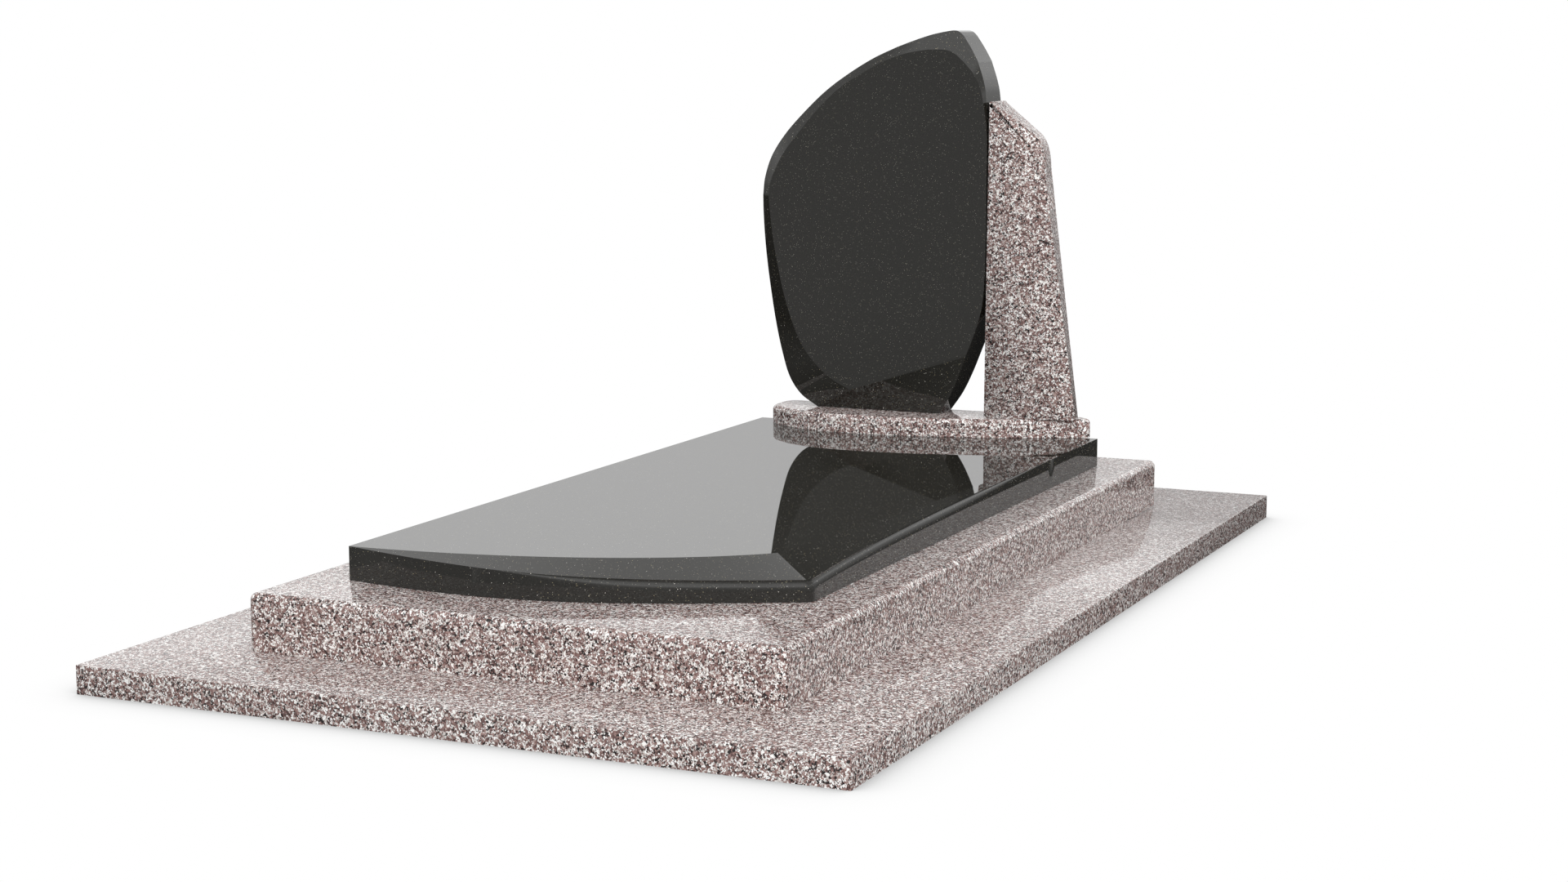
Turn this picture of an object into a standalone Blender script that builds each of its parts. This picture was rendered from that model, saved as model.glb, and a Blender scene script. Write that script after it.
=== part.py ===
# Grave monument: a speckled granite base slab and raised kerb, a polished black
# ledger with a bowed and weathered foot end, and at the head a speckled plinth
# that carries a black leaf-shaped headstone and a speckled side pillar.
# Metres, +Z up. The origin is at the centre of the base slab's underside, the
# headstone stands toward +Y and +X is on the right of someone facing it.

import math

import bmesh
import bpy

# Driving dimensions
JOINT_GAP = 0.0003

BASE_WIDTH = 1.400
BASE_LENGTH = 2.420
BASE_HEIGHT = 0.050
BASE_ARRIS = 0.0015

KERB_WIDTH = 1.000
KERB_LENGTH = 1.998
KERB_HEIGHT = 0.100
KERB_FOOT_STEP = 0.203
KERB_SHIFT = 0.003
KERB_EDGE_RADIUS = 0.013

LEDGER_WIDTH = 0.806
LEDGER_LENGTH = 1.706
LEDGER_HEIGHT = 0.060
LEDGER_HEAD_STEP = 0.131
LEDGER_SHIFT = 0.002
LEDGER_BOW = 0.032
LEDGER_SKEW = 0.160
LEDGER_CORNER_RADIUS = 0.014
FACET_DROP = 0.023
FACET_RUN_SIDE = 0.105
FACET_RUN_FOOT = 0.100
FACET_FADE = 0.300
MOULDING_HEIGHT = 0.019
MOULDING_INSET = 0.006
MOULDING_STEP = 0.0025
MOULDING_RUN = 1.250

PLINTH_WIDTH = 0.744
PLINTH_DEPTH = 0.185
PLINTH_HEIGHT = 0.040
PLINTH_OVERHANG = 0.041
PLINTH_SHIFT = 0.016
PLINTH_EDGE_RADIUS = 0.010

STONE_WIDTH = 0.540
STONE_HEIGHT = 0.841
STONE_THICKNESS = 0.100
STONE_SHIFT = -0.102
STONE_BACK_INSET = 0.006
STONE_FACET_DEPTH = 0.020
STONE_BEVEL_DEPTH = 0.012

PILLAR_WIDTH = 0.1965
PILLAR_TOP_WIDTH = 0.1225
PILLAR_HEIGHT = 0.6915
PILLAR_SHOULDER_HEIGHT = 0.545
PILLAR_SLOPE_RISE = 0.0745
PILLAR_CREST_DROP = 0.0075
PILLAR_BACK_WIDTH = 0.184
PILLAR_DEPTH = 0.098
PILLAR_TURN = 0.044
PILLAR_CHAMFER = 0.020
PILLAR_CLEARANCE = 0.001
PILLAR_BACK_INSET = 0.012

# Levels and places that follow from them
base_top = BASE_HEIGHT
kerb_bottom = base_top + JOINT_GAP
kerb_top = kerb_bottom + KERB_HEIGHT
ledger_bottom = kerb_top + JOINT_GAP
ledger_top = ledger_bottom + LEDGER_HEIGHT
plinth_bottom = ledger_top + JOINT_GAP
plinth_top = plinth_bottom + PLINTH_HEIGHT
stone_bottom = plinth_top + JOINT_GAP

kerb_foot_y = -BASE_LENGTH / 2 + KERB_FOOT_STEP
kerb_head_y = kerb_foot_y + KERB_LENGTH
kerb_centre_x = KERB_SHIFT
ledger_head_y = kerb_head_y - LEDGER_HEAD_STEP
ledger_foot_y = ledger_head_y - LEDGER_LENGTH
ledger_left_x = kerb_centre_x + LEDGER_SHIFT - LEDGER_WIDTH / 2
ledger_right_x = ledger_left_x + LEDGER_WIDTH
plinth_back_y = ledger_head_y + PLINTH_OVERHANG
plinth_centre_x = kerb_centre_x + LEDGER_SHIFT + PLINTH_SHIFT


# Curves and outlines
def bezier(points, count):
    """Cubic curve through four control points, as count + 1 points."""
    a, b, c, d = points
    curve = []
    for i in range(count + 1):
        t = i / count
        s = 1 - t
        weights = (s * s * s, 3 * s * s * t, 3 * s * t * t, t * t * t)
        x = sum(w * p[0] for w, p in zip(weights, (a, b, c, d)))
        y = sum(w * p[1] for w, p in zip(weights, (a, b, c, d)))
        curve.append((x, y))
    return curve


def fillet(start, corner, end, count):
    """Quadratic curve that rounds a corner, as count + 1 points."""
    curve = []
    for i in range(count + 1):
        t = i / count
        s = 1 - t
        x = s * s * start[0] + 2 * s * t * corner[0] + t * t * end[0]
        y = s * s * start[1] + 2 * s * t * corner[1] + t * t * end[1]
        curve.append((x, y))
    return curve


def through(points, count):
    """Smooth curve through all the points, count steps between two of them."""
    first = [2 * a - b for a, b in zip(points[0], points[1])]
    last = [2 * a - b for a, b in zip(points[-1], points[-2])]
    knots = [first] + [list(p) for p in points] + [last]
    curve = []
    for k in range(1, len(knots) - 2):
        p0, p1, p2, p3 = knots[k - 1:k + 3]
        for i in range(count):
            t = i / count
            row = []
            for a, b, c, d in zip(p0, p1, p2, p3):
                value = 2 * b + (c - a) * t + (2 * a - 5 * b + 4 * c - d) * t * t
                value += (3 * b - a - 3 * c + d) * t * t * t
                row.append(value / 2)
            curve.append(tuple(row))
    curve.append(tuple(points[-1]))
    return curve


def smooth_step(low, high, value):
    """Ramp from 0 at low to 1 at high with level ends."""
    t = min(max((value - low) / (high - low), 0.0), 1.0)
    return t * t * (3 - 2 * t)


def inset_outline(outline, distances):
    """Move each point of a counter-clockwise outline inward by its distance."""
    total = len(outline)
    result = []
    for i, (x, y) in enumerate(outline):
        ax, ay = outline[i - 1]
        bx, by = outline[(i + 1) % total]
        dx, dy = bx - ax, by - ay
        size = math.hypot(dx, dy)
        result.append((x - dy / size * distances[i], y + dx / size * distances[i]))
    return result


# Materials
def granite(name, colour, roughness):
    material = bpy.data.materials.new(name)
    material.use_nodes = True
    shader = material.node_tree.nodes["Principled BSDF"]
    shader.inputs["Base Color"].default_value = (*colour, 1.0)
    shader.inputs["Roughness"].default_value = roughness
    shader.inputs["Metallic"].default_value = 0.0
    return material


# Scene
for old in list(bpy.data.objects):
    bpy.data.objects.remove(old, do_unlink=True)

monument = bpy.data.collections.new("grave_monument")
bpy.context.scene.collection.children.link(monument)


def add_object(name, mesh, material, location=(0.0, 0.0, 0.0)):
    """Put a mesh in the monument's collection with its own material."""
    item = bpy.data.objects.new(name, mesh)
    item.location = location
    item.data.materials.append(material)
    monument.objects.link(item)
    return item


def loft(name, rings, material):
    """Closed body through rings of equally many points, the last one on top."""
    bm = bmesh.new()
    layers = [[bm.verts.new(p) for p in ring] for ring in rings]
    total = len(rings[0])
    for lower, upper in zip(layers, layers[1:]):
        for i in range(total):
            j = (i + 1) % total
            bm.faces.new((lower[i], lower[j], upper[j], upper[i]))
    bm.faces.new(list(reversed(layers[0])))
    bm.faces.new(layers[-1])
    bmesh.ops.remove_doubles(bm, verts=bm.verts, dist=0.00003)
    bmesh.ops.dissolve_degenerate(bm, edges=bm.edges, dist=0.00003)
    bmesh.ops.recalc_face_normals(bm, faces=bm.faces)
    mesh = bpy.data.meshes.new(name)
    bm.to_mesh(mesh)
    bm.free()
    mesh.shade_smooth()
    mesh.set_sharp_from_angle(angle=math.radians(20))
    return add_object(name, mesh, material)


def block(name, size, centre, radius, segments, bevel_bottom, material):
    """Sawn block with rounded upper edges, and lower ones where asked."""
    bm = bmesh.new()
    bmesh.ops.create_cube(bm, size=1.0)
    bmesh.ops.scale(bm, vec=size, verts=bm.verts)
    weights = bm.edges.layers.float.new("bevel_weight_edge")
    for edge in bm.edges:
        is_bottom = all(v.co.z < 0 for v in edge.verts)
        edge[weights] = 1.0 if bevel_bottom or not is_bottom else 0.0
    mesh = bpy.data.meshes.new(name)
    bm.to_mesh(mesh)
    bm.free()
    item = add_object(name, mesh, material, centre)
    bevel = item.modifiers.new("rounded_edges", "BEVEL")
    bevel.limit_method = "WEIGHT"
    bevel.width = radius
    bevel.segments = segments
    return item


# Base slab: the broad sawn slab on the ground, its arrises just taken off.
block(
    "base_slab",
    (BASE_WIDTH, BASE_LENGTH, BASE_HEIGHT),
    (0.0, 0.0, BASE_HEIGHT / 2),
    BASE_ARRIS,
    1,
    False,
    granite("base_slab_granite", (0.42, 0.36, 0.35), 0.12),
)

# Kerb: the raised block under the ledger, with round upper edges and corners.
block(
    "kerb",
    (KERB_WIDTH, KERB_LENGTH, KERB_HEIGHT),
    (kerb_centre_x, kerb_foot_y + KERB_LENGTH / 2, kerb_bottom + KERB_HEIGHT / 2),
    KERB_EDGE_RADIUS,
    4,
    False,
    granite("kerb_granite", (0.42, 0.36, 0.35), 0.12),
)

# Ledger: the black cover slab. Its foot end is a skewed bow, and two shallow
# facets fall to the right foot corner, with a small moulding along their edge.
foot_left = (ledger_left_x, ledger_foot_y)
foot_right = (ledger_right_x, ledger_foot_y + LEDGER_SKEW)
bow_left = (ledger_left_x + 0.45 * LEDGER_WIDTH, ledger_foot_y - 2.25 * LEDGER_BOW)
bow_right = (ledger_left_x + 0.62 * LEDGER_WIDTH, ledger_foot_y + 0.06 * LEDGER_BOW)
corner_in = (
    foot_right[0] - 0.87 * LEDGER_CORNER_RADIUS,
    foot_right[1] - 0.45 * LEDGER_CORNER_RADIUS,
)
corner_out = (foot_right[0], foot_right[1] + LEDGER_CORNER_RADIUS)
crease_corner = (foot_right[0] - FACET_RUN_SIDE, foot_right[1] + 0.85 * FACET_RUN_FOOT)
crease_out = (crease_corner[0] + 0.002, crease_corner[1] + 0.020)
crease_left = (ledger_left_x + 0.306 * LEDGER_WIDTH, ledger_foot_y + 0.003)
crease_right = (
    ledger_left_x + 0.678 * LEDGER_WIDTH,
    ledger_foot_y + 0.85 * FACET_RUN_FOOT,
)
head_right = (ledger_right_x, ledger_head_y)
head_left = (ledger_left_x, ledger_head_y)

foot_steps = 22
corner_steps = 4
side_steps = 16
wall = bezier((foot_left, bow_left, bow_right, corner_in), foot_steps)
crease = bezier((foot_left, crease_left, crease_right, crease_corner), foot_steps)
drop = []
fade = []
for i in range(foot_steps + 1):
    t = i / foot_steps
    drop.append(FACET_DROP * math.sin(math.pi * t / 2))
    fade.append(smooth_step(0.28, 0.70, t))
wall += fillet(corner_in, foot_right, corner_out, corner_steps)[1:]
crease += fillet(
    crease_corner,
    (crease_corner[0] + 0.001, crease_corner[1] + 0.009),
    crease_out,
    corner_steps,
)[1:]
drop += [FACET_DROP] * corner_steps
fade += [1.0] * corner_steps
side_length = head_right[1] - corner_out[1]
side_crease = bezier(
    (
        crease_out,
        (ledger_right_x - 0.55 * FACET_RUN_SIDE, crease_out[1] + 0.155 * side_length),
        (ledger_right_x - 0.22 * FACET_RUN_SIDE, crease_out[1] + 0.440 * side_length),
        head_right,
    ),
    side_steps,
)
for i in range(1, side_steps + 1):
    crease.append(side_crease[i])
    run = side_crease[i][1] - crease_out[1]
    whole = head_right[1] - crease_out[1]
    y = corner_out[1] + run / whole * side_length
    wall.append((ledger_right_x, y))
    t = i / side_steps
    drop.append(FACET_DROP * math.exp(-(y - corner_out[1]) / FACET_FADE) * (1 - t ** 4))
    fade.append(1 - smooth_step(0.45 * MOULDING_RUN, MOULDING_RUN, y - corner_out[1]))
wall.append(head_left)
crease.append(head_left)
drop.append(0.0)
fade.append(0.0)

moulding = inset_outline(wall, [MOULDING_INSET * m for m in fade])
edge_z = [ledger_top - d for d in drop]
step_z = [z - MOULDING_STEP * m for z, m in zip(edge_z, fade)]
ledger_rings = [[(x, y, ledger_bottom) for x, y in wall]]
round_steps = 4
round_height = MOULDING_HEIGHT - MOULDING_STEP
for k in range(round_steps + 1):
    angle = math.pi / 2 * k / round_steps
    ring = []
    for i, (x, y) in enumerate(wall):
        blend = 1 - math.cos(angle)
        px = x + (moulding[i][0] - x) * blend
        py = y + (moulding[i][1] - y) * blend
        pz = step_z[i] - round_height * fade[i] * (1 - math.sin(angle))
        ring.append((px, py, pz))
    ledger_rings.append(ring)
ledger_rings.append([(x, y, z) for (x, y), z in zip(moulding, edge_z)])
ledger_rings.append([(x, y, ledger_top) for x, y in crease])
loft("ledger", ledger_rings, granite("ledger_granite", (0.008, 0.008, 0.007), 0.03))

# Headstone plinth: a thin slab across the head of the ledger, its front bowed
# in plan and turned back toward the right, with round ends and upper edge.
plinth_left_x = plinth_centre_x - PLINTH_WIDTH / 2
plinth_front_y = plinth_back_y - PLINTH_DEPTH


def plinth_point(u, v):
    """Point at share u of the plinth's width and v of its depth."""
    return (plinth_left_x + u * PLINTH_WIDTH, plinth_front_y + v * PLINTH_DEPTH)


plinth_front = through(
    [
        plinth_point(0.000, 0.730),
        plinth_point(0.008, 0.475),
        plinth_point(0.042, 0.325),
        plinth_point(0.105, 0.155),
        plinth_point(0.200, 0.030),
        plinth_point(0.300, 0.000),
        plinth_point(0.450, 0.040),
        plinth_point(0.600, 0.165),
        plinth_point(0.750, 0.345),
        plinth_point(0.870, 0.560),
        plinth_point(0.968, 0.755),
    ],
    4,
)
plinth_outline = plinth_front
plinth_outline += fillet(
    plinth_point(0.968, 0.755), plinth_point(1.018, 0.850), plinth_point(0.955, 1.0), 5
)[1:]
plinth_outline += fillet(
    plinth_point(0.060, 1.0), plinth_point(0.008, 1.0), plinth_point(0.002, 0.82), 4
)
plinth_rings = [[(x, y, plinth_bottom) for x, y in plinth_outline]]
for k in range(5):
    angle = math.pi / 2 * k / 4
    shrink = PLINTH_EDGE_RADIUS * (1 - math.cos(angle))
    level = plinth_top - PLINTH_EDGE_RADIUS * (1 - math.sin(angle))
    ring = inset_outline(plinth_outline, [shrink] * len(plinth_outline))
    plinth_rings.append([(x, y, level) for x, y in ring])
loft("headstone_plinth", plinth_rings, granite("plinth_granite", (0.42, 0.36, 0.35), 0.12))

# Headstone: a black leaf-shaped stone. Its flat face is bounded by a narrow
# bevel at the left, a wider one at the crest and two broad cuts at the foot.
# Each row is the outer edge, the face's edge and the share of the set-back.
stone_back_y = plinth_back_y - STONE_BACK_INSET
stone_face_y = stone_back_y - STONE_THICKNESS
stone_left_x = STONE_SHIFT - STONE_WIDTH / 2
facet = STONE_FACET_DEPTH
narrow = STONE_BEVEL_DEPTH
stone_runs = (
    (
        (0.788, 0.000, 0.917, 0.157, facet),
        (0.840, 0.048, 0.917, 0.157, 0.68 * facet),
        (0.882, 0.102, 0.917, 0.157, 0.35 * facet),
        (0.917, 0.157, 0.917, 0.157, 0.0),
    ),
    (
        (0.917, 0.157, 0.917, 0.157, 0.0),
        (0.960, 0.230, 0.960, 0.230, 0.0),
        (0.990, 0.310, 0.990, 0.310, 0.0),
        (0.999, 0.450, 0.999, 0.450, 0.0),
        (1.000, 0.600, 1.000, 0.600, 0.0),
        (0.999, 0.740, 0.997, 0.742, 0.1 * narrow),
        (0.989, 0.828, 0.981, 0.822, 0.7 * narrow),
        (0.977, 0.869, 0.964, 0.862, narrow),
        (0.950, 0.922, 0.934, 0.895, narrow),
    ),
    (
        (0.950, 0.922, 0.934, 0.895, narrow),
        (0.918, 0.957, 0.899, 0.919, 1.2 * narrow),
        (0.886, 0.987, 0.866, 0.938, 1.3 * narrow),
    ),
    (
        (0.886, 0.987, 0.866, 0.938, 1.3 * narrow),
        (0.868, 0.997, 0.840, 0.947, 1.2 * narrow),
        (0.845, 1.000, 0.809, 0.951, narrow),
        (0.800, 0.996, 0.742, 0.951, narrow),
    ),
    (
        (0.800, 0.996, 0.742, 0.951, narrow),
        (0.745, 0.988, 0.686, 0.946, 0.9 * narrow),
        (0.676, 0.974, 0.629, 0.938, 0.8 * narrow),
        (0.605, 0.958, 0.550, 0.921, 0.8 * narrow),
    ),
    (
        (0.605, 0.958, 0.550, 0.921, 0.8 * narrow),
        (0.500, 0.929, 0.470, 0.894, narrow),
        (0.391, 0.889, 0.355, 0.850, narrow),
        (0.282, 0.840, 0.250, 0.788, narrow),
        (0.172, 0.775, 0.160, 0.722, narrow),
        (0.097, 0.722, 0.110, 0.682, narrow),
        (0.042, 0.668, 0.070, 0.638, narrow),
        (0.012, 0.612, 0.046, 0.600, narrow),
        (0.003, 0.565, 0.038, 0.565, narrow),
    ),
    (
        (0.003, 0.565, 0.038, 0.565, narrow),
        (0.003, 0.517, 0.045, 0.515, 0.7 * facet),
        (0.008, 0.452, 0.058, 0.450, 0.8 * facet),
        (0.017, 0.386, 0.078, 0.382, 0.9 * facet),
        (0.032, 0.310, 0.108, 0.300, facet),
        (0.055, 0.223, 0.150, 0.220, facet),
        (0.083, 0.145, 0.200, 0.157, facet),
        (0.117, 0.078, 0.262, 0.111, facet),
        (0.170, 0.031, 0.332, 0.077, facet),
        (0.245, 0.000, 0.408, 0.053, facet),
    ),
    (
        (0.245, 0.000, 0.408, 0.053, facet),
        (0.516, 0.000, 0.662, 0.105, facet),
        (0.788, 0.000, 0.917, 0.157, facet),
    ),
)
stone_rows = []
for run in stone_runs:
    stone_rows += through(run, 3)[:-1]
back_ring = []
edge_ring = []
face_ring = []
for ou, ov, iu, iv, depth in stone_rows:
    outer_x = stone_left_x + ou * STONE_WIDTH
    outer_z = stone_bottom + max(ov, 0.0) * STONE_HEIGHT
    inner_x = stone_left_x + iu * STONE_WIDTH
    inner_z = stone_bottom + iv * STONE_HEIGHT
    back_ring.append((outer_x, stone_back_y, outer_z))
    edge_ring.append((outer_x, stone_face_y + max(depth, 0.0), outer_z))
    face_ring.append((inner_x, stone_face_y, inner_z))
loft(
    "headstone",
    [back_ring, edge_ring, face_ring],
    granite("headstone_granite", (0.008, 0.008, 0.007), 0.03),
)

# Side pillar: a tapering post that stands against the headstone's right edge.
# Its head slopes down to the right over a round shoulder, its front is turned
# back with the plinth, and the front arris of the sloping head is taken off.
stone_right_x = stone_left_x + STONE_WIDTH
pillar_left_x = stone_right_x + PILLAR_CLEARANCE
pillar_back_y = plinth_back_y - PILLAR_BACK_INSET
pillar_front_y = pillar_back_y - PILLAR_DEPTH
shoulder = (PILLAR_TOP_WIDTH, PILLAR_SHOULDER_HEIGHT)
slope_foot = (0.79 * PILLAR_TOP_WIDTH, PILLAR_SHOULDER_HEIGHT + PILLAR_SLOPE_RISE)
slope_head = (0.10 * PILLAR_TOP_WIDTH, PILLAR_HEIGHT - PILLAR_CREST_DROP)
pillar_profile = [(0.0, 0.0), (PILLAR_WIDTH, 0.0)]
for i in range(1, 6):
    t = i / 6
    x = PILLAR_WIDTH + (PILLAR_TOP_WIDTH - PILLAR_WIDTH) * t
    pillar_profile.append((x, PILLAR_SHOULDER_HEIGHT * t))
shoulder_turn = (0.985 * PILLAR_TOP_WIDTH, PILLAR_SHOULDER_HEIGHT + 0.73 * PILLAR_SLOPE_RISE)
pillar_profile += fillet(shoulder, shoulder_turn, slope_foot, 8)
pillar_profile += fillet(
    slope_head,
    (0.05 * PILLAR_TOP_WIDTH, PILLAR_HEIGHT + 0.3 * PILLAR_CREST_DROP),
    (0.02 * PILLAR_TOP_WIDTH, PILLAR_HEIGHT - 0.8 * PILLAR_CREST_DROP),
    4,
)
pillar_cut = []
for x, z in pillar_profile:
    grow = smooth_step(0.9 * PILLAR_SHOULDER_HEIGHT, slope_foot[1], z)
    shrink = 0.6 * smooth_step(slope_foot[1], PILLAR_HEIGHT, z)
    pillar_cut.append(PILLAR_CHAMFER * (grow - shrink))
pillar_face = inset_outline(pillar_profile, pillar_cut)
back_ring = []
edge_ring = []
face_ring = []
for (x, z), (fx, fz), cut in zip(pillar_profile, pillar_face, pillar_cut):
    level = stone_bottom + z
    turn = PILLAR_TURN / PILLAR_WIDTH
    back_x = pillar_left_x + x * PILLAR_BACK_WIDTH / PILLAR_WIDTH
    back_ring.append((back_x, pillar_back_y, level))
    edge_ring.append((pillar_left_x + x, pillar_front_y + turn * x + cut, level))
    face_x = pillar_left_x + max(fx, 0.0)
    face_ring.append((face_x, pillar_front_y + turn * fx, stone_bottom + fz))
loft(
    "side_pillar",
    [back_ring, edge_ring, face_ring],
    granite("pillar_granite", (0.42, 0.36, 0.35), 0.12),
)
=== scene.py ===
import math

import bmesh
import bpy
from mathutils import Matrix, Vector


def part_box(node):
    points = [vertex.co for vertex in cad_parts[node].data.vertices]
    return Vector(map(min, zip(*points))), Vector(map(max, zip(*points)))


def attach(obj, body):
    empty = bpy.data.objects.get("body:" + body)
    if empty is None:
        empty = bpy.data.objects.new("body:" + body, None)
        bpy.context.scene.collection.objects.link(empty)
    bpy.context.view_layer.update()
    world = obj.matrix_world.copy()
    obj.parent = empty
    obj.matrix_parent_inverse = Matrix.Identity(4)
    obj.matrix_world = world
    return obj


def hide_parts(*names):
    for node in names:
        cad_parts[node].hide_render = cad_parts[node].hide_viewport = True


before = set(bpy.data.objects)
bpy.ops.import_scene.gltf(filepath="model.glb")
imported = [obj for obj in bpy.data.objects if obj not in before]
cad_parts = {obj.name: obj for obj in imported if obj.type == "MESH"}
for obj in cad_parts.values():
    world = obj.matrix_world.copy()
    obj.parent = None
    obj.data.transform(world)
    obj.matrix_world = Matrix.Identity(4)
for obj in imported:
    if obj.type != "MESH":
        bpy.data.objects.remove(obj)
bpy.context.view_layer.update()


# Base slab
# The broad sawn slab on the ground, of a mauve and white speckled granite,
# polished on top and on its edges. The fine arris only catches a thin light.
BASE_WIDTH, BASE_LENGTH, BASE_HEIGHT = 1.400, 2.420, 0.050
BASE_ARRIS, BASE_ARRIS_STEPS = 0.0015, 2
# Grains of about 4.4 mm, with finer ones of about 2 mm that break them up.
GRAINS_PER_METRE = 228.0
FINE_GRAINS_PER_METRE = 2.1 * GRAINS_PER_METRE
GRAIN_WANDER = 0.004


def linear(hex_colour):
    """Turn an sRGB hex colour into the linear one that shaders take."""
    result = []
    for i in (1, 3, 5):
        value = int(hex_colour[i:i + 2], 16) / 255
        if value <= 0.04045:
            result.append(value / 12.92)
        else:
            result.append(((value + 0.055) / 1.055) ** 2.4)
    return (*result, 1.0)


def node(tree, kind, settings=None, inputs=None):
    """Add a node with its settings, socket values and links."""
    item = tree.nodes.new(kind)
    for key, value in (settings or {}).items():
        setattr(item, key, value)
    for key, value in (inputs or {}).items():
        if isinstance(value, bpy.types.NodeSocket):
            tree.links.new(value, item.inputs[key])
        else:
            item.inputs[key].default_value = value
    return item


def ramp(tree, source, stops, interpolation="CONSTANT"):
    """Colour ramp over a source, its stops given as position and hex colour."""
    item = node(tree, "ShaderNodeValToRGB", inputs={"Fac": source})
    item.color_ramp.interpolation = interpolation
    elements = item.color_ramp.elements
    while len(elements) < len(stops):
        elements.new(1.0)
    for element, (position, colour) in zip(elements, stops):
        element.position = position
        element.color = linear(colour)
    return item.outputs["Color"]


def speckled_granite(name):
    """Polished speckled granite: quartz, feldspar, mauve and mica grains."""
    material = bpy.data.materials.new(name)
    material.use_nodes = True
    tree = material.node_tree
    shader = tree.nodes["Principled BSDF"]
    place = node(tree, "ShaderNodeTexCoord").outputs["Object"]
    warp = node(
        tree,
        "ShaderNodeTexNoise",
        inputs={"Vector": place, "Scale": 300.0, "Detail": 2.0},
    )
    bend = node(
        tree,
        "ShaderNodeVectorMath",
        {"operation": "MULTIPLY_ADD"},
        {0: warp.outputs["Color"], 1: (GRAIN_WANDER,) * 3, 2: place},
    )
    grains = node(
        tree,
        "ShaderNodeTexVoronoi",
        {"feature": "F1"},
        {"Vector": bend.outputs["Vector"], "Scale": GRAINS_PER_METRE},
    )
    pick = node(tree, "ShaderNodeSeparateColor", inputs={"Color": grains.outputs["Color"]})
    colour = ramp(
        tree,
        pick.outputs["Red"],
        (
            (0.00, "#211b1a"),
            (0.17, "#5f4845"),
            (0.34, "#856863"),
            (0.56, "#a48f8a"),
            (0.69, "#cdc7c3"),
            (0.82, "#f5f3f1"),
        ),
    )
    fine = node(
        tree,
        "ShaderNodeTexVoronoi",
        {"feature": "F1"},
        {"Vector": bend.outputs["Vector"], "Scale": FINE_GRAINS_PER_METRE},
    )
    fine_pick = node(tree, "ShaderNodeSeparateColor", inputs={"Color": fine.outputs["Color"]})
    fine_colour = ramp(
        tree,
        fine_pick.outputs["Green"],
        (
            (0.00, "#272020"),
            (0.18, "#735753"),
            (0.45, "#9f837d"),
            (0.64, "#c6c0bc"),
            (0.82, "#f6f4f2"),
        ),
    )
    share = ramp(tree, fine_pick.outputs["Blue"], ((0.0, "#000000"), (0.55, "#ffffff")))
    mixed = node(
        tree,
        "ShaderNodeMix",
        {"data_type": "RGBA"},
        {"Factor": share, "A": colour, "B": fine_colour},
    )
    tree.links.new(mixed.outputs["Result"], shader.inputs["Base Color"])
    shader.inputs["Roughness"].default_value = 0.06
    shader.inputs["IOR"].default_value = 1.5
    return material


def soften(bm, crisp_angle):
    """Shade a body smooth, with a crisp arris wherever it turns by more."""
    bmesh.ops.recalc_face_normals(bm, faces=bm.faces)
    for face in bm.faces:
        face.smooth = True
    for edge in bm.edges:
        if edge.calc_face_angle(0.0) > math.radians(crisp_angle):
            edge.smooth = False


def add_piece(name, bm, material, cad_node):
    """Make an object of a mesh, on the root body, in its CAD node's stead."""
    mesh = bpy.data.meshes.new(name)
    bm.to_mesh(mesh)
    bm.free()
    mesh.materials.append(material)
    piece = bpy.data.objects.new(name, mesh)
    bpy.context.scene.collection.objects.link(piece)
    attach(piece, "root")
    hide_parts(cad_node)
    return piece


def rounded_block(size, centre, radius, segments):
    """Block whose upper and upright edges are rounded, its foot left sharp."""
    bm = bmesh.new()
    bmesh.ops.create_cube(bm, size=1.0)
    bmesh.ops.scale(bm, vec=size, verts=bm.verts)
    bmesh.ops.translate(bm, vec=centre, verts=bm.verts)
    edges = [e for e in bm.edges if any(v.co.z > centre[2] for v in e.verts)]
    bmesh.ops.bevel(
        bm,
        geom=edges,
        offset=radius,
        offset_type="OFFSET",
        segments=segments,
        profile=0.5,
        affect="EDGES",
        clamp_overlap=True,
    )
    soften(bm, 24)
    return bm


add_piece(
    "base_slab_stone",
    rounded_block(
        (BASE_WIDTH, BASE_LENGTH, BASE_HEIGHT),
        (0.0, 0.0, BASE_HEIGHT / 2),
        BASE_ARRIS,
        BASE_ARRIS_STEPS,
    ),
    speckled_granite("polished_speckled_granite_base"),
    "base_slab",
)


# Kerb
# The raised block of the same speckled granite that frames the grave under the
# ledger. Its upper edges and its corners are rounded and polished by machine.
KERB_WIDTH, KERB_LENGTH, KERB_HEIGHT = 1.000, 1.998, 0.100
KERB_CENTRE = (0.003, -0.008)
KERB_EDGE_RADIUS, KERB_ROUND_STEPS = 0.013, 8
kerb_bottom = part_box("kerb")[0][2]
add_piece(
    "kerb_stone",
    rounded_block(
        (KERB_WIDTH, KERB_LENGTH, KERB_HEIGHT),
        (*KERB_CENTRE, kerb_bottom + KERB_HEIGHT / 2),
        KERB_EDGE_RADIUS,
        KERB_ROUND_STEPS,
    ),
    speckled_granite("polished_speckled_granite_kerb"),
    "kerb",
)


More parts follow.
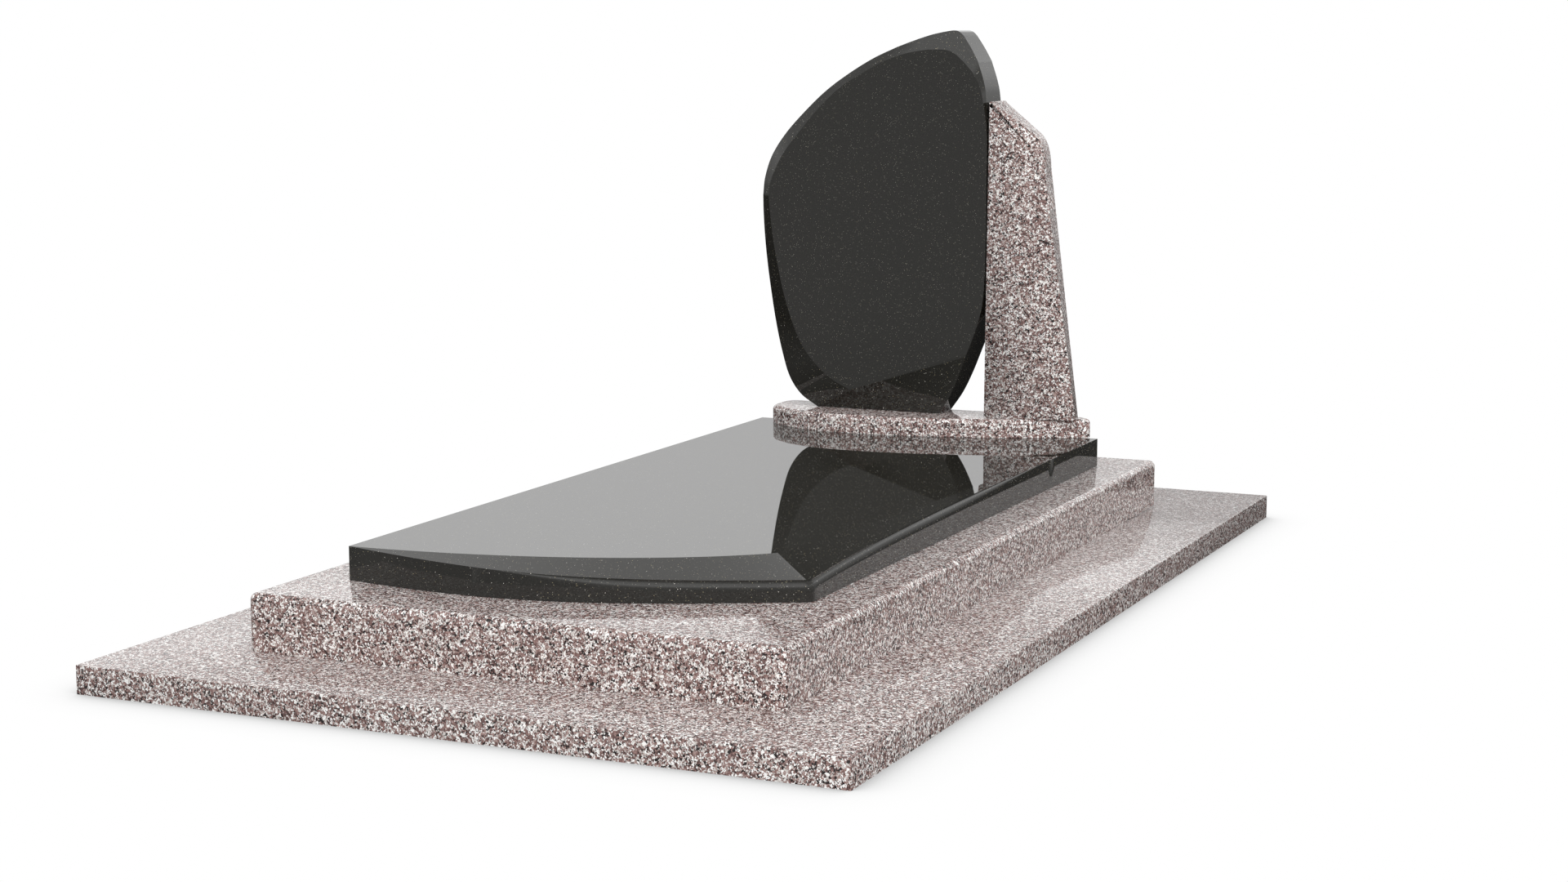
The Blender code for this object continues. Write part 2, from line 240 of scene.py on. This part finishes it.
# Ledger
# The cover slab of black gabbro, sold as black granite, mirror-polished. Its
# foot end is a skewed bow, and two shallow facets fall to the right corner,
# with a small turned moulding ground along the edge below them.
LEDGER_WIDTH, LEDGER_HEIGHT = 0.806, 0.060
LEDGER_LEFT, LEDGER_FOOT, LEDGER_HEAD = -0.398, -0.846, 0.860
LEDGER_RIGHT = LEDGER_LEFT + LEDGER_WIDTH
LEDGER_BOW, LEDGER_SKEW = 0.032, 0.160
LEDGER_CORNER_RADIUS = 0.014
FACET_DROP, FACET_FADE = 0.023, 0.300
FACET_RUN_SIDE, FACET_RUN_FOOT = 0.105, 0.100
CREASE_LIFT, CREASE_TURN, CREASE_TURN_END = 0.003, (0.001, 0.009), (0.002, 0.020)
MOULDING_HEIGHT, MOULDING_INSET = 0.019, 0.006
MOULDING_STEP, MOULDING_RUN = 0.0025, 1.250
FOOT_STEPS, CORNER_STEPS, SIDE_STEPS, ROUND_STEPS = 110, 10, 90, 8
# A fleck is about 1.3 mm across, in some 12 in 100 of the cells of 2 mm.
FLECK_CELLS_PER_METRE = 500.0
FLECK_SHARE, FLECK_RADIUS_IN_CELLS = 0.12, 0.33


def bezier(points, count):
    """Cubic curve through four control points, as count + 1 points."""
    a, b, c, d = points
    curve = []
    for i in range(count + 1):
        t = i / count
        s = 1 - t
        weights = (s * s * s, 3 * s * s * t, 3 * s * t * t, t * t * t)
        x = sum(w * p[0] for w, p in zip(weights, (a, b, c, d)))
        y = sum(w * p[1] for w, p in zip(weights, (a, b, c, d)))
        curve.append((x, y))
    return curve


def round_corner(start, corner, end, count):
    """Quadratic curve that rounds a corner, as count + 1 points."""
    curve = []
    for i in range(count + 1):
        t = i / count
        s = 1 - t
        x = s * s * start[0] + 2 * s * t * corner[0] + t * t * end[0]
        y = s * s * start[1] + 2 * s * t * corner[1] + t * t * end[1]
        curve.append((x, y))
    return curve


def ease(low, high, value):
    """Ramp from 0 at low to 1 at high with level ends."""
    t = min(max((value - low) / (high - low), 0.0), 1.0)
    return t * t * (3 - 2 * t)


def moved_in(outline, distances):
    """Move each point of a counter-clockwise outline inward by its distance."""
    result = []
    for i, (x, y) in enumerate(outline):
        ax, ay = outline[i - 1]
        bx, by = outline[(i + 1) % len(outline)]
        dx, dy = bx - ax, by - ay
        size = math.hypot(dx, dy)
        result.append((x - dy / size * distances[i], y + dx / size * distances[i]))
    return result


def cut_stone(rings, crisp_rings, crisp_angle=30):
    """Closed body through rings of points, with crisp arrises on some rings."""
    bm = bmesh.new()
    layers = [[bm.verts.new(p) for p in ring] for ring in rings]
    total = len(rings[0])
    for lower, upper in zip(layers, layers[1:]):
        for i in range(total):
            j = (i + 1) % total
            bm.faces.new((lower[i], lower[j], upper[j], upper[i]))
    bm.faces.new(list(reversed(layers[0])))
    bm.faces.new(layers[-1])
    for index in crisp_rings:
        layer = layers[index]
        for i in range(total):
            bm.edges.get((layer[i], layer[(i + 1) % total])).smooth = False
    bmesh.ops.remove_doubles(bm, verts=bm.verts, dist=0.00003)
    bmesh.ops.dissolve_degenerate(bm, edges=bm.edges, dist=0.00003)
    soften(bm, crisp_angle)
    return bm


def black_granite(name):
    """Mirror-polished black granite: near black, with fine flecks of pale grey and gold."""
    material = bpy.data.materials.new(name)
    material.use_nodes = True
    tree = material.node_tree
    shader = tree.nodes["Principled BSDF"]
    place = node(tree, "ShaderNodeTexCoord").outputs["Object"]
    flecks = node(
        tree,
        "ShaderNodeTexVoronoi",
        {"feature": "F1"},
        {"Vector": place, "Scale": FLECK_CELLS_PER_METRE},
    )
    pick = node(tree, "ShaderNodeSeparateColor", inputs={"Color": flecks.outputs["Color"]})
    chosen = node(
        tree,
        "ShaderNodeMath",
        {"operation": "GREATER_THAN"},
        {0: pick.outputs["Red"], 1: 1.0 - FLECK_SHARE},
    )
    near = node(
        tree,
        "ShaderNodeMath",
        {"operation": "LESS_THAN"},
        {0: flecks.outputs["Distance"], 1: FLECK_RADIUS_IN_CELLS},
    )
    fleck = node(
        tree,
        "ShaderNodeMath",
        {"operation": "MULTIPLY"},
        {0: chosen.outputs[0], 1: near.outputs[0]},
    )
    tint = ramp(
        tree,
        pick.outputs["Green"],
        ((0.0, "#4c4b46"), (0.45, "#75736a"), (0.75, "#958c70"), (0.92, "#d2cfc7")),
    )
    cloud = node(
        tree,
        "ShaderNodeTexNoise",
        inputs={"Vector": place, "Scale": 420.0, "Detail": 2.0},
    )
    ground = ramp(
        tree,
        cloud.outputs["Fac"],
        ((0.35, "#141310"), (0.65, "#22211d")),
        "LINEAR",
    )
    mixed = node(
        tree,
        "ShaderNodeMix",
        {"data_type": "RGBA"},
        {"Factor": fleck.outputs[0], "A": ground, "B": tint},
    )
    tree.links.new(mixed.outputs["Result"], shader.inputs["Base Color"])
    shader.inputs["Roughness"].default_value = 0.015
    shader.inputs["IOR"].default_value = 1.5
    return material


ledger_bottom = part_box("ledger")[0][2]
ledger_top = ledger_bottom + LEDGER_HEIGHT
foot_left = (LEDGER_LEFT, LEDGER_FOOT)
foot_right = (LEDGER_RIGHT, LEDGER_FOOT + LEDGER_SKEW)
corner_in = (
    foot_right[0] - 0.87 * LEDGER_CORNER_RADIUS,
    foot_right[1] - 0.45 * LEDGER_CORNER_RADIUS,
)
corner_out = (foot_right[0], foot_right[1] + LEDGER_CORNER_RADIUS)
crease_corner = (foot_right[0] - FACET_RUN_SIDE, foot_right[1] + 0.85 * FACET_RUN_FOOT)
crease_turn = (crease_corner[0] + CREASE_TURN[0], crease_corner[1] + CREASE_TURN[1])
crease_out = (crease_corner[0] + CREASE_TURN_END[0], crease_corner[1] + CREASE_TURN_END[1])
head_right = (LEDGER_RIGHT, LEDGER_HEAD)
head_left = (LEDGER_LEFT, LEDGER_HEAD)
wall = bezier(
    (
        foot_left,
        (LEDGER_LEFT + 0.45 * LEDGER_WIDTH, LEDGER_FOOT - 2.25 * LEDGER_BOW),
        (LEDGER_LEFT + 0.62 * LEDGER_WIDTH, LEDGER_FOOT + 0.06 * LEDGER_BOW),
        corner_in,
    ),
    FOOT_STEPS,
)
crease = bezier(
    (
        foot_left,
        (LEDGER_LEFT + 0.306 * LEDGER_WIDTH, LEDGER_FOOT + CREASE_LIFT),
        (LEDGER_LEFT + 0.678 * LEDGER_WIDTH, LEDGER_FOOT + 0.85 * FACET_RUN_FOOT),
        crease_corner,
    ),
    FOOT_STEPS,
)
drop = [FACET_DROP * math.sin(math.pi * i / FOOT_STEPS / 2) for i in range(FOOT_STEPS + 1)]
fade = [ease(0.28, 0.70, i / FOOT_STEPS) for i in range(FOOT_STEPS + 1)]
wall += round_corner(corner_in, foot_right, corner_out, CORNER_STEPS)[1:]
crease += round_corner(crease_corner, crease_turn, crease_out, CORNER_STEPS)[1:]
drop += [FACET_DROP] * CORNER_STEPS
fade += [1.0] * CORNER_STEPS
side_length = head_right[1] - corner_out[1]
side_crease = bezier(
    (
        crease_out,
        (LEDGER_RIGHT - 0.55 * FACET_RUN_SIDE, crease_out[1] + 0.155 * side_length),
        (LEDGER_RIGHT - 0.22 * FACET_RUN_SIDE, crease_out[1] + 0.440 * side_length),
        head_right,
    ),
    SIDE_STEPS,
)
for i in range(1, SIDE_STEPS + 1):
    crease.append(side_crease[i])
    run = side_crease[i][1] - crease_out[1]
    y = corner_out[1] + run / (head_right[1] - crease_out[1]) * side_length
    wall.append((LEDGER_RIGHT, y))
    end = 1 - (i / SIDE_STEPS) ** 4
    drop.append(FACET_DROP * math.exp(-(y - corner_out[1]) / FACET_FADE) * end)
    fade.append(1 - ease(0.45 * MOULDING_RUN, MOULDING_RUN, y - corner_out[1]))
wall.append(head_left)
crease.append(head_left)
drop.append(0.0)
fade.append(0.0)

moulding = moved_in(wall, [MOULDING_INSET * m for m in fade])
edge_z = [ledger_top - d for d in drop]
step_z = [z - MOULDING_STEP * m for z, m in zip(edge_z, fade)]
ledger_rings = [[(x, y, ledger_bottom) for x, y in wall]]
for k in range(ROUND_STEPS + 1):
    angle = math.pi / 2 * k / ROUND_STEPS
    blend = 1 - math.cos(angle)
    ring = []
    for i, (x, y) in enumerate(wall):
        px = x + (moulding[i][0] - x) * blend
        py = y + (moulding[i][1] - y) * blend
        fall = (MOULDING_HEIGHT - MOULDING_STEP) * fade[i] * (1 - math.sin(angle))
        ring.append((px, py, step_z[i] - fall))
    ledger_rings.append(ring)
ledger_rings.append([(x, y, z) for (x, y), z in zip(moulding, edge_z)])
ledger_rings.append([(x, y, ledger_top) for x, y in crease])
last_ring = len(ledger_rings) - 1
add_piece(
    "ledger_stone",
    cut_stone(ledger_rings, (last_ring - 2, last_ring - 1, last_ring)),
    black_granite("mirror_polished_black_granite_ledger"),
    "ledger",
)


# Headstone plinth
# The thin slab of speckled granite across the ledger's head end. Its front is
# bowed in plan, its ends are round and its upper edge is rounded all along.
PLINTH_WIDTH, PLINTH_DEPTH, PLINTH_HEIGHT = 0.744, 0.185, 0.040
PLINTH_LEFT, PLINTH_BACK = -0.351, 0.901
PLINTH_EDGE_RADIUS, PLINTH_ROUND_STEPS = 0.010, 8
PLINTH_FRONT_SHARES = (
    (0.000, 0.730),
    (0.008, 0.475),
    (0.042, 0.325),
    (0.105, 0.155),
    (0.200, 0.030),
    (0.300, 0.000),
    (0.450, 0.040),
    (0.600, 0.165),
    (0.750, 0.345),
    (0.870, 0.560),
    (0.968, 0.755),
)


def curve_through(points, count):
    """Smooth curve through all the points, count steps between two of them."""
    first = [2 * a - b for a, b in zip(points[0], points[1])]
    last = [2 * a - b for a, b in zip(points[-1], points[-2])]
    knots = [first] + [list(p) for p in points] + [last]
    curve = []
    for k in range(1, len(knots) - 2):
        p0, p1, p2, p3 = knots[k - 1:k + 3]
        for i in range(count):
            t = i / count
            row = []
            for a, b, c, d in zip(p0, p1, p2, p3):
                value = 2 * b + (c - a) * t + (2 * a - 5 * b + 4 * c - d) * t * t
                value += (3 * b - a - 3 * c + d) * t * t * t
                row.append(value / 2)
            curve.append(tuple(row))
    curve.append(tuple(points[-1]))
    return curve


def plinth_point(u, v):
    """Point at share u of the plinth's width and v of its depth."""
    x = PLINTH_LEFT + u * PLINTH_WIDTH
    y = PLINTH_BACK - PLINTH_DEPTH + v * PLINTH_DEPTH
    return (x, y)


plinth_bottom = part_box("headstone_plinth")[0][2]
plinth_top = plinth_bottom + PLINTH_HEIGHT
plinth_outline = curve_through([plinth_point(*share) for share in PLINTH_FRONT_SHARES], 10)
plinth_outline += round_corner(
    plinth_point(0.968, 0.755), plinth_point(1.018, 0.850), plinth_point(0.955, 1.0), 14
)[1:]
plinth_outline += round_corner(
    plinth_point(0.060, 1.0), plinth_point(0.008, 1.0), plinth_point(0.002, 0.82), 10
)
plinth_rings = [[(x, y, plinth_bottom) for x, y in plinth_outline]]
for k in range(PLINTH_ROUND_STEPS + 1):
    angle = math.pi / 2 * k / PLINTH_ROUND_STEPS
    shrink = PLINTH_EDGE_RADIUS * (1 - math.cos(angle))
    level = plinth_top - PLINTH_EDGE_RADIUS * (1 - math.sin(angle))
    ring = moved_in(plinth_outline, [shrink] * len(plinth_outline))
    plinth_rings.append([(x, y, level) for x, y in ring])
add_piece(
    "headstone_plinth_stone",
    cut_stone(plinth_rings, (0,), 50),
    speckled_granite("polished_speckled_granite_plinth"),
    "headstone_plinth",
)


# Headstone
# The leaf-shaped stone of the same black granite as the ledger, polished on
# every side. A narrow bevel runs up its left edge, a wider one over the crest,
# and two broad cuts take the face back toward its foot.
STONE_WIDTH, STONE_HEIGHT, STONE_THICKNESS = 0.540, 0.841, 0.100
STONE_LEFT, STONE_BACK = -0.372, 0.895
FACET_DEPTH, BEVEL_DEPTH = 0.020, 0.012
STONE_RUN_STEPS = 12
# Each row: outer edge across and up, face's edge across and up, set-back.
STONE_RUNS = (
    (
        (0.788, 0.000, 0.917, 0.157, FACET_DEPTH),
        (0.840, 0.048, 0.917, 0.157, 0.68 * FACET_DEPTH),
        (0.882, 0.102, 0.917, 0.157, 0.35 * FACET_DEPTH),
        (0.917, 0.157, 0.917, 0.157, 0.0),
    ),
    (
        (0.917, 0.157, 0.917, 0.157, 0.0),
        (0.960, 0.230, 0.960, 0.230, 0.0),
        (0.990, 0.310, 0.990, 0.310, 0.0),
        (0.999, 0.450, 0.999, 0.450, 0.0),
        (1.000, 0.600, 1.000, 0.600, 0.0),
        (0.999, 0.740, 0.997, 0.742, 0.1 * BEVEL_DEPTH),
        (0.989, 0.828, 0.981, 0.822, 0.7 * BEVEL_DEPTH),
        (0.977, 0.869, 0.964, 0.862, BEVEL_DEPTH),
        (0.950, 0.922, 0.934, 0.895, BEVEL_DEPTH),
    ),
    (
        (0.950, 0.922, 0.934, 0.895, BEVEL_DEPTH),
        (0.918, 0.957, 0.899, 0.919, 1.2 * BEVEL_DEPTH),
        (0.886, 0.987, 0.866, 0.938, 1.3 * BEVEL_DEPTH),
    ),
    (
        (0.886, 0.987, 0.866, 0.938, 1.3 * BEVEL_DEPTH),
        (0.868, 0.997, 0.840, 0.947, 1.2 * BEVEL_DEPTH),
        (0.845, 1.000, 0.809, 0.951, BEVEL_DEPTH),
        (0.800, 0.996, 0.742, 0.951, BEVEL_DEPTH),
    ),
    (
        (0.800, 0.996, 0.742, 0.951, BEVEL_DEPTH),
        (0.745, 0.988, 0.686, 0.946, 0.9 * BEVEL_DEPTH),
        (0.676, 0.974, 0.629, 0.938, 0.8 * BEVEL_DEPTH),
        (0.605, 0.958, 0.550, 0.921, 0.8 * BEVEL_DEPTH),
    ),
    (
        (0.605, 0.958, 0.550, 0.921, 0.8 * BEVEL_DEPTH),
        (0.500, 0.929, 0.470, 0.894, BEVEL_DEPTH),
        (0.391, 0.889, 0.355, 0.850, BEVEL_DEPTH),
        (0.282, 0.840, 0.250, 0.788, BEVEL_DEPTH),
        (0.172, 0.775, 0.160, 0.722, BEVEL_DEPTH),
        (0.097, 0.722, 0.110, 0.682, BEVEL_DEPTH),
        (0.042, 0.668, 0.070, 0.638, BEVEL_DEPTH),
        (0.012, 0.612, 0.046, 0.600, BEVEL_DEPTH),
        (0.003, 0.565, 0.038, 0.565, BEVEL_DEPTH),
    ),
    (
        (0.003, 0.565, 0.038, 0.565, BEVEL_DEPTH),
        (0.003, 0.517, 0.045, 0.515, 0.7 * FACET_DEPTH),
        (0.008, 0.452, 0.058, 0.450, 0.8 * FACET_DEPTH),
        (0.017, 0.386, 0.078, 0.382, 0.9 * FACET_DEPTH),
        (0.032, 0.310, 0.108, 0.300, FACET_DEPTH),
        (0.055, 0.223, 0.150, 0.220, FACET_DEPTH),
        (0.083, 0.145, 0.200, 0.157, FACET_DEPTH),
        (0.117, 0.078, 0.262, 0.111, FACET_DEPTH),
        (0.170, 0.031, 0.332, 0.077, FACET_DEPTH),
        (0.245, 0.000, 0.408, 0.053, FACET_DEPTH),
    ),
    (
        (0.245, 0.000, 0.408, 0.053, FACET_DEPTH),
        (0.516, 0.000, 0.662, 0.105, FACET_DEPTH),
        (0.788, 0.000, 0.917, 0.157, FACET_DEPTH),
    ),
)
stone_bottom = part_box("headstone")[0][2]
back_ring = []
edge_ring = []
face_ring = []
for stone_run in STONE_RUNS:
    for ou, ov, iu, iv, depth in curve_through(stone_run, STONE_RUN_STEPS)[:-1]:
        outer_x = STONE_LEFT + ou * STONE_WIDTH
        outer_z = stone_bottom + max(ov, 0.0) * STONE_HEIGHT
        inner_x = STONE_LEFT + iu * STONE_WIDTH
        inner_z = stone_bottom + iv * STONE_HEIGHT
        face_y = STONE_BACK - STONE_THICKNESS
        back_ring.append((outer_x, STONE_BACK, outer_z))
        edge_ring.append((outer_x, face_y + max(depth, 0.0), outer_z))
        face_ring.append((inner_x, face_y, inner_z))
add_piece(
    "headstone_leaf",
    cut_stone([back_ring, edge_ring, face_ring], (0, 1, 2)),
    black_granite("mirror_polished_black_granite_headstone"),
    "headstone",
)


# Side pillar
# The tapering post of speckled granite that stands close against the right
# edge of the headstone. Its head slopes down over a round shoulder, and the
# front arris of that slope is taken off and polished.
PILLAR_WIDTH, PILLAR_TOP_WIDTH, PILLAR_HEIGHT = 0.1965, 0.1225, 0.6915
PILLAR_SHOULDER_HEIGHT, PILLAR_BACK_WIDTH, PILLAR_DEPTH = 0.545, 0.184, 0.098
PILLAR_TURN, PILLAR_CHAMFER = 0.044, 0.020
PILLAR_SLOPE_RISE, PILLAR_CREST_DROP = 0.0745, 0.0075
PILLAR_LEFT, PILLAR_BACK = 0.169, 0.889
PILLAR_SIDE_STEPS, PILLAR_ROUND_STEPS = 24, 8
shoulder = (PILLAR_TOP_WIDTH, PILLAR_SHOULDER_HEIGHT)
slope_foot = (0.79 * PILLAR_TOP_WIDTH, PILLAR_SHOULDER_HEIGHT + PILLAR_SLOPE_RISE)
slope_head = (0.10 * PILLAR_TOP_WIDTH, PILLAR_HEIGHT - PILLAR_CREST_DROP)
profile = [(0.0, 0.0), (PILLAR_WIDTH, 0.0)]
for i in range(1, PILLAR_SIDE_STEPS):
    t = i / PILLAR_SIDE_STEPS
    across = PILLAR_WIDTH + (PILLAR_TOP_WIDTH - PILLAR_WIDTH) * t
    profile.append((across, PILLAR_SHOULDER_HEIGHT * t))
shoulder_turn = (0.985 * PILLAR_TOP_WIDTH, PILLAR_SHOULDER_HEIGHT + 0.73 * PILLAR_SLOPE_RISE)
profile += round_corner(shoulder, shoulder_turn, slope_foot, 24)
profile += round_corner(
    slope_head,
    (0.05 * PILLAR_TOP_WIDTH, PILLAR_HEIGHT + 0.3 * PILLAR_CREST_DROP),
    (0.02 * PILLAR_TOP_WIDTH, PILLAR_HEIGHT - 0.8 * PILLAR_CREST_DROP),
    12,
)
slope_low = 0.9 * PILLAR_SHOULDER_HEIGHT
cuts = []
for x, z in profile:
    grow = ease(slope_low, slope_foot[1], z)
    shrink = 0.6 * ease(slope_foot[1], PILLAR_HEIGHT, z)
    cuts.append(PILLAR_CHAMFER * (grow - shrink))
turn = PILLAR_TURN / PILLAR_WIDTH
pillar_front = PILLAR_BACK - PILLAR_DEPTH
pillar_rings = [
    [
        (PILLAR_LEFT + x * PILLAR_BACK_WIDTH / PILLAR_WIDTH, PILLAR_BACK, stone_bottom + z)
        for x, z in profile
    ]
]
for k in range(PILLAR_ROUND_STEPS + 1):
    angle = math.pi / 2 * k / PILLAR_ROUND_STEPS
    face = moved_in(profile, [cut * (1 - math.cos(angle)) for cut in cuts])
    ring = []
    for (x, z), cut in zip(face, cuts):
        y = pillar_front + turn * x + cut * (1 - math.sin(angle))
        ring.append((PILLAR_LEFT + max(x, 0.0), y, stone_bottom + z))
    pillar_rings.append(ring)
add_piece(
    "side_pillar_stone",
    cut_stone(pillar_rings, (0,), 40),
    speckled_granite("polished_speckled_granite_pillar"),
    "side_pillar",
)


# Studio
# A plain white floor in a light tent, with a broad key light from the front
# right and a weaker one from behind. The floor's white is darkened close to the
# stone by a painted contact shadow, and the floor lights nothing itself.
FLOOR_SIZE, CONTACT_REACH = 60.0, 0.12
TENT_FILL = (0.20, 0.20, 0.20, 1.0)
SOFTBOX_ANGLE = 70
LENS_MM, SENSOR_MM = 61.13, 36.0
CAMERA_PLACE = (2.1545, -4.6587, 1.0884)
CAMERA_TILT, CAMERA_ROLL, CAMERA_TURN = 0.1523, 0.0009, 0.4249
floor_mesh = bpy.data.meshes.new("studio_floor")
floor_bm = bmesh.new()
bmesh.ops.create_grid(floor_bm, x_segments=1, y_segments=1, size=FLOOR_SIZE)
floor_bm.to_mesh(floor_mesh)
floor_bm.free()
floor = bpy.data.objects.new("studio_floor", floor_mesh)
bpy.context.scene.collection.objects.link(floor)
floor.visible_diffuse = False
floor.visible_glossy = False
floor_paint = bpy.data.materials.new("white_floor_with_painted_contact_shadow")
floor_paint.use_nodes = True
floor_tree = floor_paint.node_tree
floor_shader = floor_tree.nodes["Principled BSDF"]
# Painted contact shadow: the floor's emitted white turns grey where the stone occludes it at
# close range.
contact = node(
    floor_tree,
    "ShaderNodeAmbientOcclusion",
    {"samples": 12},
    {"Distance": CONTACT_REACH},
)
floor_white_with_painted_shadow = ramp(
    floor_tree,
    contact.outputs["AO"],
    ((0.30, "#8c8c8c"), (0.70, "#e9e9e9"), (0.94, "#ffffff")),
    "LINEAR",
)
floor_shader.inputs["Base Color"].default_value = (0.0, 0.0, 0.0, 1.0)
floor_shader.inputs["Roughness"].default_value = 1.0
floor_shader.inputs["Specular IOR Level"].default_value = 0.0
floor_tree.links.new(floor_white_with_painted_shadow, floor_shader.inputs["Emission Color"])
floor_shader.inputs["Emission Strength"].default_value = 1.0
floor_mesh.materials.append(floor_paint)

world = bpy.data.worlds.new("light_tent")
world.use_nodes = True
tent = world.node_tree
background = tent.nodes["Background"]
direction = node(tent, "ShaderNodeTexCoord").outputs["Generated"]
sides = node(tent, "ShaderNodeSeparateXYZ", inputs={"Vector": direction})
height = sides.outputs["Z"]
level = node(
    tent,
    "ShaderNodeMapRange",
    inputs={"Value": height, "From Min": -0.5, "From Max": 0.5},
).outputs["Result"]
tent_grey = ramp(
    tent,
    level,
    (
        (0.05, "#353535"),
        (0.29, "#8a8a8a"),
        (0.40, "#aaaaaa"),
        (0.52, "#a9a9a9"),
        (0.64, "#d4d4d4"),
        (0.75, "#ffffff"),
        (0.84, "#dddddd"),
        (0.95, "#c4c4c4"),
    ),
    "LINEAR",
)


def tent_share(value, start, end, low, high):
    """A share of the tent's light that changes from low to high."""
    limits = {"From Min": start, "From Max": end, "To Min": low, "To Max": high}
    return node(
        tent, "ShaderNodeMapRange", inputs={"Value": value, **limits}
    ).outputs["Result"]


def product(first, second):
    """The product of two shares of the tent's light."""
    return node(
        tent, "ShaderNodeMath", {"operation": "MULTIPLY"}, {0: first, 1: second}
    ).outputs["Value"]


# The tent is dark low down at the left and behind, and has a lamp high up at
# the front, which only polished faces show.
aside = node(
    tent,
    "ShaderNodeMath",
    {"operation": "SUBTRACT"},
    {0: sides.outputs["Y"], 1: sides.outputs["X"]},
).outputs["Value"]
shade = product(
    tent_share(aside, 0.20, 0.60, 0.0, 0.85),
    tent_share(height, 0.02, -0.10, 0.0, 1.0),
)
lamp = product(
    tent_share(sides.outputs["Y"], -0.40, -0.65, 0.0, 0.95),
    tent_share(height, 0.22, 0.38, 0.0, 1.0),
)
front_share = tent_share(sides.outputs["Y"], -1.0, 1.0, 1.65, 1.30)
unshaded = node(
    tent, "ShaderNodeMath", {"operation": "SUBTRACT"}, {0: 1.0, 1: shade}
).outputs["Value"]
with_lamp = node(
    tent, "ShaderNodeMath", {"operation": "ADD"}, {0: 1.0, 1: lamp}
).outputs["Value"]
tent_scale = product(product(front_share, unshaded), with_lamp)
tent_light = node(
    tent,
    "ShaderNodeVectorMath",
    {"operation": "SCALE"},
    {0: tent_grey, "Scale": tent_scale},
).outputs["Vector"]
path = node(tent, "ShaderNodeLightPath")
with_fill = node(
    tent,
    "ShaderNodeMix",
    {"data_type": "RGBA"},
    {
        "Factor": path.outputs["Is Diffuse Ray"],
        "A": tent_light,
        "B": TENT_FILL,
    },
).outputs["Result"]
with_backdrop = node(
    tent,
    "ShaderNodeMix",
    {"data_type": "RGBA"},
    {
        "Factor": path.outputs["Is Camera Ray"],
        "A": with_fill,
        "B": (1.0, 1.0, 1.0, 1.0),
    },
).outputs["Result"]
tent.links.new(with_backdrop, background.inputs["Color"])
background.inputs["Strength"].default_value = 1.0
bpy.context.scene.world = world


def add_softbox(name, strength, height_angle, compass_angle):
    """Broad light from a height and a compass angle, 0 being from the foot end."""
    light_data = bpy.data.lights.new(name, "SUN")
    light_data.energy = strength
    light_data.angle = math.radians(SOFTBOX_ANGLE)
    light = bpy.data.objects.new(name, light_data)
    light.rotation_euler = (math.radians(90 - height_angle), 0.0, math.radians(compass_angle))
    light.visible_glossy = False
    bpy.context.scene.collection.objects.link(light)


add_softbox("key_softbox", 3.45, 35, 38)
add_softbox("back_softbox", 1.5, 40, 225)

camera_data = bpy.data.cameras.new("camera")
camera_data.lens = LENS_MM
camera_data.sensor_width = SENSOR_MM
camera = bpy.data.objects.new("camera", camera_data)
camera.location = CAMERA_PLACE
camera.rotation_euler = (math.pi / 2 - CAMERA_TILT, CAMERA_ROLL, CAMERA_TURN)
bpy.context.scene.collection.objects.link(camera)
bpy.context.scene.camera = camera
bpy.context.scene.view_settings.view_transform = "Standard"
